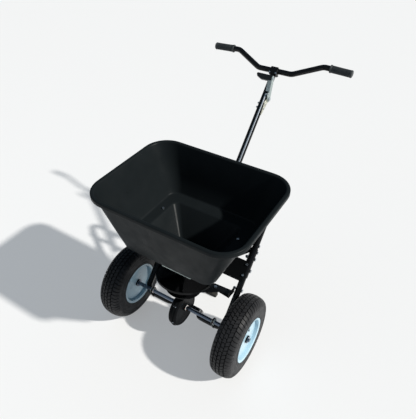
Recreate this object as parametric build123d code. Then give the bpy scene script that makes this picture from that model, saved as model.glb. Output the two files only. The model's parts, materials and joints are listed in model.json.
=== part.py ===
from build123d import *
import math
import os

# Walk-behind broadcast spreader. Millimetres, +Z up, +X right, +Y towards the person pushing it.
# It is drawn about the ground point under the axle, then moved so that the whole stands centred.

# Driving dimensions: wheels and axle
TYRE_R = 165.0
TYRE_HALF_W = 45.5
WHEEL_X = 264.8
RIM_R = 91.0
HUB_R = 15.0
HUB_HALF = 37.0
HUB_BORE = 12.0
AXLE_R = 8.0
AXLE_HALF = 311.0
PIN_INSET = 3.4
SPLIT_PIN_R = 1.6
DRIVE_PIN_R = 2.5
DRIVE_PIN_X = 251.8
BUSH_R = 11.0
AXLE_Z = TYRE_R
RUN = 0.05

# Driving dimensions: frame, handle post and bar
INCLINE = 46.0
TUBE_R = 12.5
TUBE_WALL = 2.0
LEG_X = 190.0
FRAME_N = -25.5
BOTTOM_S = -15.0
BOTTOM_BEND = 34.0
JOG_OUT = 76.0
JOG_IN = 50.0
JOG_N = -103.0
JOG_BEND = 24.0
BRACKET_X = 150.0
SLEEVE_WALL = 2.5
FRAME_BOLT_R = 4.0
SPLICE_S = 268.0
SLEEVE_HALF = 61.0
PANEL_S = 230.0
PANEL_DEPTH = 84.0
HOOP_S = 590.0
HOOP_BEND = 85.0
POST_N = 2.5
POST_LOW_S = 455.0
GUIDE_S = 560.0
BAR_S = 1034.7
BAR_R = 11.0
BAR_TILT = 42.0
BAR_FLAT = 74.0
BAR_SHOULDER = 188.0
BAR_RISE = 59.0
BAR_END = 304.0
BAR_DROOP = 5.0
GRIP_R = 14.0
GRIP_START = 214.0
GRIP_CAP = 4.0
BAR_BEND = 40.0
CLAMP_W = 34.0
CLAMP_H = 34.0
CLAMP_D = 28.0
STAND_TOP_Y = 196.0
STAND_TOP_Z = 318.0
STAND_Y = 232.0
STAND_FOOT_Z = 10.0
STAND_R = 10.0
CROSSBAR_R = 7.0

# Driving dimensions: hopper
RIM_Z = 713.0
RIM_HALF_X = 303.0
RIM_FRONT = -147.0
RIM_BACK = 318.0
RIM_CORNER = 96.0
RIM_WIDTH = 14.0
RIM_DEPTH = 16.0
WALL = 4.0
BEND_Z = 565.0
SKIRT_Z = 487.0
LEDGE_Z = 513.0
PORT_W = 222.0
PORT_X = 29.0
PORT_V = 25.0
PORT_SIDE = 22.0
# inside of the walls at the bend and at the skirt: half width, front, back, corner radius
BEND = (221.0, -107.0, 270.0, 52.0)
SKIRT = (188.0, -90.0, 238.0, 36.0)
# inside of the funnel at the level ledge and at the tilted floor: half width, front, back, corner radius
FUNNEL_TOP = (154.0, -52.0, 200.0, 24.0)
FUNNEL_FOOT = (54.0, -54.0, 54.0, 10.0)
LEDGE_BOLTS = ((-168, 134), (-168, 26), (168, 134), (168, 26))
LEDGE_BOLT_R = 3.2

# Driving dimensions: spinner drive, outlet and gate linkage
SPIN_TILT = 10.0
SHAFT_R = 5.0
SHAFT_BUSH_R = 8.5
SHAFT_FOOT_W = 33.0
SHAFT_TOP_W = 262.0
AGITATOR_W = 246.0
NECK_R = 15.0
PLATE_W = 100.0
PLATE_T = 3.0
DISC_W = 160.0
DISC_R = 113.5
RING_TEETH = 50
PINION_TEETH = 10
PITCH_R = 50.0
GEAR_SMALL = 0.76
CASE_R = 74.0
CASE_WALL = 3.0
CASE_LEFT = 20.5
CASE_RIGHT = 16.0
CASE_DROP = 14.0
CASE_LIP = 1.4
CASE_BOSS = 6.0
RING_KEY_X = -9.0
LEVER_S = 918.0
LEVER_N = -6.5
ARM = 26.0
GATE_ARM = 38.0
HALF_SWING = 20.0
ROD_X = 8.0
ROD_R = 3.0
PIN_R = 2.5
PIVOT_R = 4.0
LINK_X = 16.0
LINK_T = 3.0
LOOSE = 1.4
PADDLE_S = 990.0
PADDLE_N = 33.0
STRAP_R = 12.5
FOLD_W = 17.0

ARM_MEAN = ARM * (1 + math.cos(math.radians(HALF_SWING))) / 2
ARM_THROW = ARM * math.sin(math.radians(HALF_SWING))
GATE_MEAN = GATE_ARM * (1 + math.cos(math.radians(HALF_SWING))) / 2
GATE_THROW = GATE_ARM * math.sin(math.radians(HALF_SWING))
ROD_N = LEVER_N + ARM_MEAN
CRANK_N = ROD_N + ARM_MEAN
GATE_TOP = PORT_W - 3.6
GATE_PIN_W = GATE_TOP - 1.0

incline = math.radians(INCLINE)
tilt = math.radians(SPIN_TILT)
UP_POST = Vector(0, math.cos(incline), math.sin(incline))
OFF_POST = Vector(0, -math.sin(incline), math.cos(incline))
UP_SHAFT = Vector(0, math.sin(tilt), math.cos(tilt))
BACK_SHAFT = Vector(0, math.cos(tilt), -math.sin(tilt))
AXLE_POINT = Vector(0, 0, AXLE_Z)
SPIN = Plane(origin=AXLE_POINT, x_dir=(1, 0, 0), z_dir=UP_SHAFT)

CRANK_W = GATE_PIN_W + GATE_MEAN
CRANK_S = (CRANK_W - CRANK_N * OFF_POST.dot(UP_SHAFT)) / UP_POST.dot(UP_SHAFT)


def on_frame(x, s, n):
    """Point at x, s along the handle incline from the axle, n square off it."""
    return AXLE_POINT + Vector(x, 0, 0) + UP_POST * s + OFF_POST * n


def on_spin(x, v, w):
    """Point at x, v back and w up in the tilted frame of the spinner shaft."""
    return AXLE_POINT + Vector(x, 0, 0) + BACK_SHAFT * v + UP_SHAFT * w


CRANK_V = (on_frame(0, CRANK_S, CRANK_N) - AXLE_POINT).dot(BACK_SHAFT)


def bar(start, end, radius, bore=0.0):
    """Round bar or tube between two points."""
    axis = Vector(*end) - Vector(*start)
    base = Plane(origin=start, z_dir=axis)
    section = Circle(radius) - Circle(bore) if bore else Circle(radius)
    return extrude(base * section, axis.length)


def pipe(points, bend, radius, bore=0.0):
    """Bent round tube along straight runs joined by arcs."""
    path = FilletPolyline(*points, radius=bend)
    start = Plane(origin=path @ 0, z_dir=path % 0)
    section = Circle(radius) - Circle(bore) if bore else Circle(radius)
    return sweep(start * section, path=path)


def turned(points, x=0.0):
    """Solid of revolution about the wheel axis from (x, radius) points."""
    face = make_face(Polyline(*[(px + x, 0, AXLE_Z + r) for px, r in points], close=True))
    return revolve(face, Axis(AXLE_POINT, (1, 0, 0)))


def bolt(seat, towards, radius, length):
    """Hex-headed bolt and nut: the head sits at seat, the shank runs towards a direction."""
    axis = Vector(*towards).normalized()
    seat = Vector(*seat)
    hexagon = RegularPolygon(radius * 1.75, 6)
    head = extrude(Plane(origin=seat, z_dir=axis * -1) * hexagon, radius * 1.3)
    shank = bar(seat, seat + axis * length, radius)
    nut = extrude(Plane(origin=seat + axis * (length - radius * 2.2), z_dir=axis) * hexagon, radius * 1.5)
    return head + shank + nut


def link_plate(x_low, x_high, spots, holes):
    """Flat plate lying in a side plane: discs at (y, z, radius) spots joined in turn, with holes."""
    plate = None
    for (y0, z0, r0), (y1, z1, r1) in zip(spots, spots[1:]):
        turn = math.atan2(z1 - z0, y1 - y0)
        side_y = -math.sin(turn)
        side_z = math.cos(turn)
        outline = Polyline((y0 + side_y * r0, z0 + side_z * r0), (y1 + side_y * r1, z1 + side_z * r1),
                           (y1 - side_y * r1, z1 - side_z * r1), (y0 - side_y * r0, z0 - side_z * r0),
                           close=True)
        area = make_face(outline) + Pos(y0, z0) * Circle(r0) + Pos(y1, z1) * Circle(r1)
        plate = area if plate is None else plate + area
    for y, z, r in holes:
        plate -= Pos(y, z) * Circle(r)
    base = Plane(origin=(x_low, 0, 0), x_dir=(0, 1, 0), z_dir=(1, 0, 0))
    return extrude(base * plate, x_high - x_low)


def flat(point):
    """Y and Z of a point, for plates that lie in a side plane."""
    return point.Y, point.Z


# ---- wheels ----------------------------------------------------------------

def tyre(x):
    """Pneumatic tyre: a C-shaped carcass, open at the beads."""
    w = TYRE_HALF_W
    outer = [(-24, 84.4), (-40.2, 84.6), (-42.2, 91.6), (-w + 1.5, 92.5), (-w, 98), (-w, 122), (-w + 1.5, 142),
             (-w + 8, 155), (-24, 162), (0, TYRE_R)]
    inner = [(0, 156), (-24, 153), (-w + 12, 146), (-w + 7, 132), (-w + 7, 101), (-34, 96.5), (-27, 94),
             (-24, 92)]
    outline = outer + [(-px, r) for px, r in reversed(outer[:-1])]
    outline += [(-px, r) for px, r in reversed(inner)] + inner[1:]
    return turned(outline, x)


def rim_half(x, side):
    """Pressed steel rim half: flange, bead seat, well and a shallow centre disc near the outside."""
    back = [(43, RIM_R), (41, 84.1), (18, 82), (14, 76), (8, 73), (0.05, 73), (0.05, 71), (9, 71),
            (15.5, 74.4), (19.4, 79.6), (24, 79), (28.5, 74), (30.5, 64), (31, 46), (31, HUB_R)]
    front = [(33, HUB_R), (33, 46), (32.6, 64.5), (30.6, 75), (26.5, 81), (42.5, 82), (45, 89.5),
             (45, RIM_R)]
    return turned([(side * px, r) for px, r in back + front], x)


def hub_tube(x):
    return bar((x - HUB_HALF, 0, AXLE_Z), (x + HUB_HALF, 0, AXLE_Z), HUB_R, HUB_BORE)


def hub_bushes(x):
    """Two flanged bushes pressed in the ends of the hub tube."""
    solids = []
    for side in (-1, 1):
        end = x + side * HUB_HALF
        sleeve = bar((end - side * 16, 0, AXLE_Z), (end, 0, AXLE_Z), HUB_BORE, AXLE_R + RUN)
        flange = bar((end, 0, AXLE_Z), (end + side * 2, 0, AXLE_Z), HUB_R, AXLE_R + RUN)
        solids.append(sleeve + flange)
    return Compound(children=solids)


def valve(x, side):
    """Valve stem leaning out of the rim well."""
    base = (x + side * 36, 0, AXLE_Z + 80.6)
    mid = (x + side * 37.5, 0, AXLE_Z + 68)
    tip = (x + side * 38.8, 0, AXLE_Z + 55)
    return bar(base, mid, 4.0) + bar(mid, tip, 2.6)


# ---- axle and gearbox ------------------------------------------------------

def axle():
    shaft = bar((-AXLE_HALF, 0, AXLE_Z), (AXLE_HALF, 0, AXLE_Z), AXLE_R)
    for x in (PIN_INSET - AXLE_HALF, AXLE_HALF - PIN_INSET):
        shaft -= bar((x, 0, AXLE_Z - 20), (x, 0, AXLE_Z + 20), SPLIT_PIN_R)
    return shaft - drive_pin() - ring_key()


def end_pins():
    """Split pins through the two axle ends."""
    solids = []
    for side in (-1, 1):
        x = side * (AXLE_HALF - PIN_INSET)
        stem = bar((x, 0, AXLE_Z - 13), (x, 0, AXLE_Z + 13), SPLIT_PIN_R)
        eye = Pos(x, 0, AXLE_Z + 14.6) * Rot(0, 90, 0) * Torus(3.2, 1.4)
        solids.append(stem + eye)
    return Compound(children=solids)


def washers():
    """Flat washers on each side of both wheels."""
    solids = []
    for side in (-1, 1):
        inner = side * (WHEEL_X - HUB_HALF - 2.3)
        outer = side * (WHEEL_X + HUB_HALF + 2.3)
        solids.append(bar((inner - side * 2, 0, AXLE_Z), (inner, 0, AXLE_Z), 15.0, AXLE_R))
        solids.append(bar((outer, 0, AXLE_Z), (outer + side * 1.8, 0, AXLE_Z), 14.0, AXLE_R))
    return Compound(children=solids)


def drive_pin():
    """Cross pin that locks the right-hand hub to the axle."""
    return bar((DRIVE_PIN_X, 0, AXLE_Z - 14.5), (DRIVE_PIN_X, 0, AXLE_Z + 14.5), DRIVE_PIN_R)


def tooth(root_r, tip_r, root_half, tip_half):
    """Tapered gear tooth between the large end and the small end of the bevel cones."""
    ends = []
    for scale in (GEAR_SMALL, 1.0):
        w = PITCH_R * scale
        points = [(root_r, -root_half), (tip_r, -tip_half), (tip_r, tip_half), (root_r, root_half)]
        face = make_face(Polyline(*[(a * scale, b * scale) for a, b in points], close=True))
        ends.append(Plane(origin=(0, 0, w), x_dir=(1, 0, 0), z_dir=(0, 0, 1)) * face)
    return loft(ends)


def ring_gear():
    """Large bevel gear, on the left of the spinner shaft, keyed to the axle."""
    profile = [(-6, AXLE_R), (-6, 18), (-12, 18), (-12, 36), (-9.0, 38.2), (-11.7, 50), (-15.5, 50),
               (-15.5, 18), (-17, 18), (-17, AXLE_R)]
    gear = turned(profile)
    form = tooth(-12.4, -8.8, 1.9, 0.8)
    teeth = [SPIN * Rot(360.0 / RING_TEETH * k, 0, 0) * form for k in range(RING_TEETH)]
    return gear + teeth


def ring_key():
    """Roll pin through the ring gear's boss and the axle."""
    return bar(on_spin(RING_KEY_X, 0, -17), on_spin(RING_KEY_X, 0, 17), 1.5)


def pinion_gear():
    """Small bevel gear on the foot of the spinner shaft."""
    low = PITCH_R * GEAR_SMALL
    core = loft([Plane.XY.offset(low) * Circle(8.3 * GEAR_SMALL), Plane.XY.offset(PITCH_R) * Circle(8.3)])
    core += Pos(0, 0, PITCH_R + 2) * Cylinder(8.0, 4)
    form = tooth(7.6, 11.2, 1.8, 0.75)
    step = 360.0 / PINION_TEETH
    teeth = [Rot(0, 0, step * (k + 0.5)) * form for k in range(PINION_TEETH)]
    gear = core + teeth - Pos(0, 0, PITCH_R) * Cylinder(SHAFT_R, 60)
    return SPIN * gear


def case_reach(side):
    """How far the case's outside stands from the seam on one side."""
    return CASE_RIGHT if side > 0 else CASE_LEFT


def housing_profile(side, wall):
    """Half of the round gear case, as (x, radius) points about its centre: wall 0 is the inside."""
    far = side * (case_reach(side) - CASE_WALL + wall)
    radius = CASE_R - CASE_WALL + wall
    return [(0, 0.0), (far, 0.0), (far, radius - 5), (far - side * 3, radius - 1.5),
            (far - side * 6, radius), (0, radius)]


def gear_case(side):
    """One half of the gear case: dished cover, seam flange and half of the shaft neck."""
    low = Pos(0, 0, -CASE_DROP)
    face = case_reach(side)
    cover = turned(housing_profile(side, CASE_WALL))
    cover -= turned([(side * (face - CASE_LIP), 0), (side * (face - CASE_LIP), CASE_R - 8.5),
                     (side * (face + 1), CASE_R - 7), (side * (face + 1), 0)])
    seam = turned([(0, 50), (side * 2.6, 50), (side * 2.6, CASE_R + 4), (0, CASE_R + 4)])
    boss_far = side * (case_reach(side) + CASE_BOSS)
    boss = turned([(0, 0), (boss_far, 0), (boss_far, NECK_R), (0, NECK_R)])
    neck = SPIN * Pos(0, 0, PLATE_W - 24) * Cylinder(NECK_R, 48)
    neck += SPIN * Pos(0, 0, PLATE_W - 5) * Cylinder(NECK_R + 7, 10)
    half_space = Pos(side * 60, 0, AXLE_Z) * Box(120, 400, 400)
    case = low * (cover + seam) + boss + (neck & half_space)
    case -= low * turned(housing_profile(side, 0))
    case -= bar((-80, 0, AXLE_Z), (80, 0, AXLE_Z), BUSH_R)
    case -= SPIN * (Pos(0, 0, 75) * Cylinder(SHAFT_BUSH_R, 70))
    return case


def case_bushes():
    """Bushes for the axle in both case walls and for the shaft in the neck."""
    bushes = []
    for side in (-1, 1):
        inner = side * (case_reach(side) - CASE_WALL - 0.1)
        outer = side * (case_reach(side) + CASE_BOSS)
        bushes.append(bar((inner, 0, AXLE_Z), (outer, 0, AXLE_Z), BUSH_R, AXLE_R + RUN))
    for w, length in ((64, 16), (93, 14)):
        bushes.append(bar(on_spin(0, 0, w - length / 2), on_spin(0, 0, w + length / 2), SHAFT_BUSH_R,
                          SHAFT_R + RUN))
    return Compound(children=bushes)


def case_screws():
    """Screws round the seam flange, clear of the neck."""
    solids = []
    for degrees in (40, 100, 180, 260, 320):
        turn = math.radians(90 + degrees)
        y = (CASE_R - 0.2) * math.cos(turn)
        z = AXLE_Z - CASE_DROP + (CASE_R - 0.2) * math.sin(turn)
        head = bar((2.6, y, z), (5.6, y, z), 3.4)
        solids.append(head + bar((-5.2, y, z), (2.6, y, z), 1.7))
    return Compound(children=solids)


# ---- spinner ---------------------------------------------------------------

def spinner_shaft():
    return bar(on_spin(0, 0, SHAFT_FOOT_W), on_spin(0, 0, SHAFT_TOP_W), SHAFT_R)


def spinner_disc():
    """Spreading disc with a raised edge, six fins and a hub."""
    disc = Pos(0, 0, 1.5) * Cylinder(DISC_R, 3)
    edge = Pos(0, 0, 4.5) * (Cylinder(DISC_R, 9) - Cylinder(DISC_R - 3, 9))
    hub_boss = Pos(0, 0, 10) * Cylinder(14, 26)
    fin = Pos(59, 0, 10) * Box(98, 2.6, 16)
    fins = [Rot(0, 0, 60 * k) * fin for k in range(6)]
    disc = disc + edge + hub_boss + fins
    disc -= Cylinder(SHAFT_R, 80)
    return SPIN * Pos(0, 0, DISC_W) * disc


def spinner_pin():
    return bar(on_spin(-16.5, 0, DISC_W + 19.5), on_spin(16.5, 0, DISC_W + 19.5), 1.8)


def agitator():
    """Two-armed agitator pressed on the shaft just above the outlet ports."""
    hub_ring = Cylinder(10, 12) - Cylinder(SHAFT_R, 12)
    arms = [Rot(0, 0, 180 * k + 90) * (Pos(24, 0, 0) * Rot(0, 90, 0) * Cylinder(3, 32)) for k in range(2)]
    tips = [Rot(0, 0, 180 * k + 90) * (Pos(38, 0, 5) * Cylinder(3, 14)) for k in range(2)]
    return SPIN * Pos(0, 0, AGITATOR_W) * (hub_ring + arms + tips)


# ---- frame -----------------------------------------------------------------

def lower_frame():
    """Bent tube: two legs and the run under the axle, which steps back round the gear case."""
    half = [(LEG_X, SPLICE_S, FRAME_N), (LEG_X, BOTTOM_S, FRAME_N), (JOG_OUT, BOTTOM_S, FRAME_N),
            (JOG_IN, BOTTOM_S, JOG_N)]
    right = [on_frame(*spot) for spot in reversed(half)]
    left = [on_frame(-x, s, n) for x, s, n in half]
    bends = [BOTTOM_BEND, JOG_BEND, JOG_BEND, JOG_BEND, JOG_BEND, BOTTOM_BEND]
    return pipe(left + right, bends, TUBE_R, TUBE_R - TUBE_WALL)


def upper_hoop():
    """Hoop that carries the legs up behind the hopper."""
    points = [on_frame(-LEG_X, SPLICE_S + 1, FRAME_N), on_frame(-LEG_X, HOOP_S, FRAME_N),
              on_frame(LEG_X, HOOP_S, FRAME_N), on_frame(LEG_X, SPLICE_S + 1, FRAME_N)]
    return pipe(points, HOOP_BEND, TUBE_R, TUBE_R - TUBE_WALL)


def splice_sleeve(side):
    low = on_frame(side * LEG_X, SPLICE_S - SLEEVE_HALF, FRAME_N)
    high = on_frame(side * LEG_X, SPLICE_S + SLEEVE_HALF, FRAME_N)
    return bar(low, high, TUBE_R + SLEEVE_WALL, TUBE_R)


def splice_bolts():
    solids = []
    for side in (-1, 1):
        for s in (SPLICE_S - 30, SPLICE_S + 20):
            seat = on_frame(side * (LEG_X + TUBE_R + SLEEVE_WALL), s, FRAME_N)
            solids.append(bolt(seat, (-side, 0, 0), FRAME_BOLT_R, 39))
    return Compound(children=solids)


def support_plate():
    """Cross plate between the legs that carries the gear case neck and steadies the spinner shaft."""
    disc = Circle(72)
    arms = make_face(Polyline((-176, 52), (-128, 58), (-60, 4), (60, 4), (128, 58), (176, 52), (176, 98),
                              (92, 92), (40, 70), (-40, 70), (-92, 92), (-176, 98), close=True))
    outline = disc + arms - Circle(9)
    for x, y in ((-104, 72), (104, 72), (-34, 34), (34, 34)):
        outline -= Pos(x, y) * Circle(4)
    plate = SPIN * Pos(0, 0, PLATE_W) * extrude(outline, PLATE_T)
    for side in (-1, 1):
        ear = SPIN * Pos(side * 174.9, 75, PLATE_W + 13) * Box(3, 46, 26)
        plate += ear
    return plate


def plate_bolts():
    """Bolts through the legs into the plate's ears."""
    solids = []
    for side in (-1, 1):
        s = (PLATE_W + 13 - FRAME_N * OFF_POST.dot(UP_SHAFT)) / UP_POST.dot(UP_SHAFT)
        seat = on_frame(side * (LEG_X + TUBE_R), s, FRAME_N)
        solids.append(bolt(seat, (-side, 0, 0), FRAME_BOLT_R, 37))
        solids.append(bolt(on_spin(side * 104, 72, PLATE_W + PLATE_T), UP_SHAFT * -1, 3.9, 16))
    return Compound(children=solids)


def rear_panel():
    """Shield between the legs that keeps the throw off the walker."""
    centre = on_frame(0, PANEL_S, FRAME_N + TUBE_R + SLEEVE_WALL + 1.6)
    base = Plane(origin=centre, x_dir=(1, 0, 0), z_dir=OFF_POST)
    return extrude(base * RectangleRounded(2 * LEG_X + 12, PANEL_DEPTH, 6), 1.5, both=True)


def panel_bolts():
    solids = []
    for side in (-1, 1):
        for s in (PANEL_S - 15, PANEL_S + 30):
            seat = on_frame(side * LEG_X, s, FRAME_N + TUBE_R + 5.6)
            solids.append(bolt(seat, OFF_POST * -1, 3.0, 36))
    return Compound(children=solids)


def cross_brace():
    """Flat strip across the hoop legs that the post's foot is bolted to."""
    centre = on_frame(0, POST_LOW_S + 22, FRAME_N + TUBE_R + 1.3)
    base = Plane(origin=centre, x_dir=(1, 0, 0), z_dir=OFF_POST)
    return extrude(base * RectangleRounded(2 * LEG_X + 20, 34, 8), 1.2, both=True)


def axle_bracket(side):
    """Plate welded on the bottom run that carries the axle bush."""
    foot = on_frame(0, BOTTOM_S, FRAME_N)
    y, z = flat(foot)
    spots = [(0, AXLE_Z, 17.0), (y, z, 15.0)]
    holes = [(0, AXLE_Z, BUSH_R), (y, z, TUBE_R)]
    return link_plate(side * BRACKET_X - 2.5, side * BRACKET_X + 2.5, spots, holes)


def axle_bushes():
    solids = []
    for side in (-1, 1):
        x = side * BRACKET_X
        sleeve = bar((x - 6, 0, AXLE_Z), (x + 6, 0, AXLE_Z), BUSH_R, AXLE_R + RUN)
        collar = bar((x + side * 2.5, 0, AXLE_Z), (x + side * 5, 0, AXLE_Z), BUSH_R + 3.5, BUSH_R)
        solids.append(sleeve + collar)
    return Compound(children=solids)


def stand():
    """Single leg of the stand, from the back of the rear panel to the cross foot."""
    return bar((0, STAND_TOP_Y, STAND_TOP_Z), (0, STAND_Y, STAND_FOOT_Z), STAND_R, STAND_R - 2)


def stand_crossbar():
    """Short bar across the foot of the stand."""
    cross = bar((-26, STAND_Y, STAND_FOOT_Z), (26, STAND_Y, STAND_FOOT_Z), CROSSBAR_R)
    leg = bar((0, STAND_TOP_Y, STAND_TOP_Z), (0, STAND_Y, STAND_FOOT_Z), STAND_R)
    return cross - leg


def stand_foot():
    """Moulded shoe over the crossbar, flat on the ground."""
    block = Pos(0, STAND_Y, 9) * Box(58, 24, 18)
    block = fillet(block.edges().filter_by(Axis.Z), 5)
    block -= bar((-26, STAND_Y, STAND_FOOT_Z), (26, STAND_Y, STAND_FOOT_Z), CROSSBAR_R)
    return block - bar((0, STAND_TOP_Y, STAND_TOP_Z), (0, STAND_Y, STAND_FOOT_Z), STAND_R)


def stand_clip():
    """Block that bolts the top of the stand to the back of the rear panel."""
    top = Vector(0, STAND_TOP_Y, STAND_TOP_Z) - AXLE_POINT
    face_n = FRAME_N + TUBE_R + SLEEVE_WALL
    depth = face_n - OFF_POST.dot(top) + STAND_R + 3
    mid = on_frame(0, UP_POST.dot(top) - 8, face_n - depth / 2)
    block = Plane(origin=mid, x_dir=(1, 0, 0), z_dir=OFF_POST) * Box(34, 36, depth)
    return block - bar((0, STAND_TOP_Y, STAND_TOP_Z), (0, STAND_Y, STAND_FOOT_Z), STAND_R)


# ---- hopper ----------------------------------------------------------------

def level_section(z, half_x, front, back, corner):
    """Rounded rectangle at height z, as a face for lofting."""
    middle = Plane(origin=(0, (front + back) / 2, z))
    return middle * RectangleRounded(2 * half_x, back - front, corner)


def tilted_section(w, half_x, front, back, corner):
    """Rounded rectangle square to the spinner shaft, from v=front to v=back."""
    middle = Plane(origin=on_spin(0, (front + back) / 2, w), x_dir=(1, 0, 0), z_dir=UP_SHAFT)
    return middle * RectangleRounded(2 * half_x, back - front, corner)


def grown(section):
    """Outside of a wall from its inside: half width, front, back and corner radius."""
    half_x, front, back, corner = section
    return half_x + WALL, front - WALL, back + WALL, corner + WALL


def hopper():
    """Moulded hopper: rolled rim, two-slope walls, level ledge and a funnel down to the tilted floor."""
    top = (RIM_HALF_X - RIM_WIDTH, RIM_FRONT + RIM_WIDTH, RIM_BACK - RIM_WIDTH, RIM_CORNER - RIM_WIDTH)
    shell = loft([level_section(RIM_Z, *grown(top)), level_section(BEND_Z, *grown(BEND))], ruled=True)
    shell += loft([level_section(BEND_Z, *grown(BEND)), level_section(SKIRT_Z, *grown(SKIRT))], ruled=True)
    rim = extrude(level_section(RIM_Z - RIM_DEPTH, RIM_HALF_X, RIM_FRONT, RIM_BACK, RIM_CORNER), RIM_DEPTH)
    rim = fillet(rim.edges().group_by(Axis.Z)[-1], 4)
    groove = extrude(level_section(RIM_Z - RIM_DEPTH, RIM_HALF_X - 3, RIM_FRONT + 3, RIM_BACK - 3,
                                   RIM_CORNER - 3), RIM_DEPTH - 3.5)
    shell = rim - groove + shell
    shell -= loft([level_section(RIM_Z, *top), level_section(BEND_Z, *BEND)], ruled=True)
    # the lower walls are open above the ledge and below it
    lower = loft([level_section(BEND_Z, *BEND), level_section(SKIRT_Z - 2, *SKIRT)], ruled=True)
    ledge = Pos(0, 0, LEDGE_Z - WALL / 2) * Box(900, 900, WALL)
    shell -= lower - ledge
    funnel = loft([level_section(LEDGE_Z - 0.5, *grown(FUNNEL_TOP)),
                   tilted_section(PORT_W, *grown(FUNNEL_FOOT))], ruled=True)
    inside = loft([level_section(LEDGE_Z + 0.5, *FUNNEL_TOP), tilted_section(PORT_W + WALL, *FUNNEL_FOOT)],
                  ruled=True)
    pad = extrude(tilted_section(PORT_W, 66, -66, 66, 8), 6)
    shell = shell + funnel + pad - inside
    for side in (-1, 1):
        shell -= SPIN * Pos(side * PORT_X, PORT_V, PORT_W) * Box(PORT_SIDE, PORT_SIDE, 40)
    shell -= SPIN * Pos(0, 0, PORT_W) * Cylinder(SHAFT_R + 1.5, 40)
    for x, y in LEDGE_BOLTS:
        shell -= Pos(x, y, LEDGE_Z) * Cylinder(LEDGE_BOLT_R, 30)
    return shell


def hopper_bolts():
    solids = []
    for x, y in LEDGE_BOLTS:
        solids.append(bolt((x, y, LEDGE_Z), (0, 0, -1), LEDGE_BOLT_R, 20))
    return Compound(children=solids)


def hopper_bracket(side):
    """Pressed bracket from the leg up to the hopper ledge: foot flange, web and ear on the leg."""
    x = side * 168
    top = LEDGE_Z - WALL
    flange = Pos(x, 82, top - 1.5) * Box(18, 156, 3)
    web_x = side * 173.2
    leg_low = on_frame(0, 307, FRAME_N - 6)
    leg_high = on_frame(0, 354, FRAME_N)
    outline = Polyline((6, top), (158, top), flat(leg_high), flat(leg_low), close=True)
    base = Plane(origin=(web_x - 1.5, 0, 0), x_dir=(0, 1, 0), z_dir=(1, 0, 0))
    web = extrude(base * make_face(outline), 3)
    bracket = web + flange
    for bx, y in LEDGE_BOLTS:
        if bx * side > 0:
            bracket -= Pos(bx, y, top) * Cylinder(LEDGE_BOLT_R, 30)
    return bracket


def bracket_bolts():
    """Bolts through the sleeves into the hopper brackets."""
    solids = []
    for side in (-1, 1):
        for s, reach in ((316, TUBE_R + SLEEVE_WALL), (342, TUBE_R)):
            seat = on_frame(side * (LEG_X + reach), s, FRAME_N)
            solids.append(bolt(seat, (-side, 0, 0), 3.5, reach + 26))
    return Compound(children=solids)


def outlet_plate():
    """Steel plate under the funnel with two ports, one on each side of the gate's tail."""
    plate = RectangleRounded(136, 136, 8)
    plate -= Circle(SHAFT_R + 1.5)
    for side in (-1, 1):
        plate -= Pos(side * PORT_X, PORT_V) * Rectangle(PORT_SIDE, PORT_SIDE)
        plate -= Pos(side * 60, 58) * Circle(2.6)
        plate -= Pos(side * 60, -58) * Circle(2.6)
    return SPIN * Pos(0, 0, PORT_W - PLATE_T) * extrude(plate, PLATE_T)


def outlet_screws():
    solids = []
    for x in (-60, 60):
        for v in (-58, 58):
            seat = on_spin(x, v, PORT_W - PLATE_T)
            head = bar(seat - UP_SHAFT * 3.2, seat, 5.0)
            solids.append(head + bar(seat, seat + UP_SHAFT * 8, 2.6))
    return Compound(children=solids)


def gate():
    """Sliding gate with a shaft slot and a tail that ends in an upright ear and a pin."""
    plate = Pos(0, 13) * Rectangle(88, 54)
    tail_end = CRANK_V + GATE_THROW
    plate += Pos(11, tail_end / 2 + 4) * Rectangle(10, tail_end + 8)
    plate -= Pos(0, 13) * SlotCenterToCenter(2 * GATE_THROW, 14, rotation=90)
    body = SPIN * Pos(0, 0, GATE_TOP - 2) * extrude(plate, 2)
    ear = SPIN * Pos(12.5, tail_end, GATE_TOP + 2) * Box(3, 14, 12)
    pin = bar(on_spin(12.5, tail_end, GATE_PIN_W), on_spin(20.5, tail_end, GATE_PIN_W), PIN_R)
    return body + ear + pin


def gate_guide(side):
    """L-shaped rail that holds the gate's edge under the outlet plate."""
    top = PORT_W - PLATE_T
    rail = SPIN * Pos(side * 48.5, 0, top - 3.2) * Box(7, 112, 6.4)
    lip = SPIN * Pos(side * 42.5, 0, top - 5.4) * Box(5, 112, 2)
    return rail + lip


# ---- handle ----------------------------------------------------------------

def handle_post():
    return bar(on_frame(0, POST_LOW_S, POST_N), on_frame(0, BAR_S - BAR_R - 0.2, POST_N), TUBE_R,
               TUBE_R - TUBE_WALL)


def post_saddle():
    """Block between the post and the hoop."""
    mid = on_frame(0, HOOP_S, (POST_N + FRAME_N) / 2)
    block = Plane(origin=mid, x_dir=(1, 0, 0), z_dir=OFF_POST) * Box(34, 30, 18)
    block -= bar(on_frame(0, HOOP_S - 60, POST_N), on_frame(0, HOOP_S + 60, POST_N), TUBE_R)
    block -= bar(on_frame(-60, HOOP_S, FRAME_N), on_frame(60, HOOP_S, FRAME_N), TUBE_R)
    return block


def post_bolts():
    """Long bolts through the post: one in the hoop and one in the brace."""
    solids = [bolt(on_frame(0, HOOP_S, POST_N + TUBE_R), OFF_POST * -1, 3.0, 64),
              bolt(on_frame(0, POST_LOW_S + 22, POST_N + TUBE_R), OFF_POST * -1, 3.0, 36)]
    return Compound(children=solids)


def foot_spacer():
    """Spacer between the post's foot and the cross brace."""
    n0 = FRAME_N + TUBE_R + 2.55
    block_mid = on_frame(0, POST_LOW_S + 22, (n0 + POST_N) / 2)
    block = Plane(origin=block_mid, x_dir=(1, 0, 0), z_dir=OFF_POST) * Box(26, 30, POST_N - n0)
    block -= bar(on_frame(0, POST_LOW_S - 30, POST_N), on_frame(0, POST_LOW_S + 90, POST_N), TUBE_R)
    return block


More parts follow.
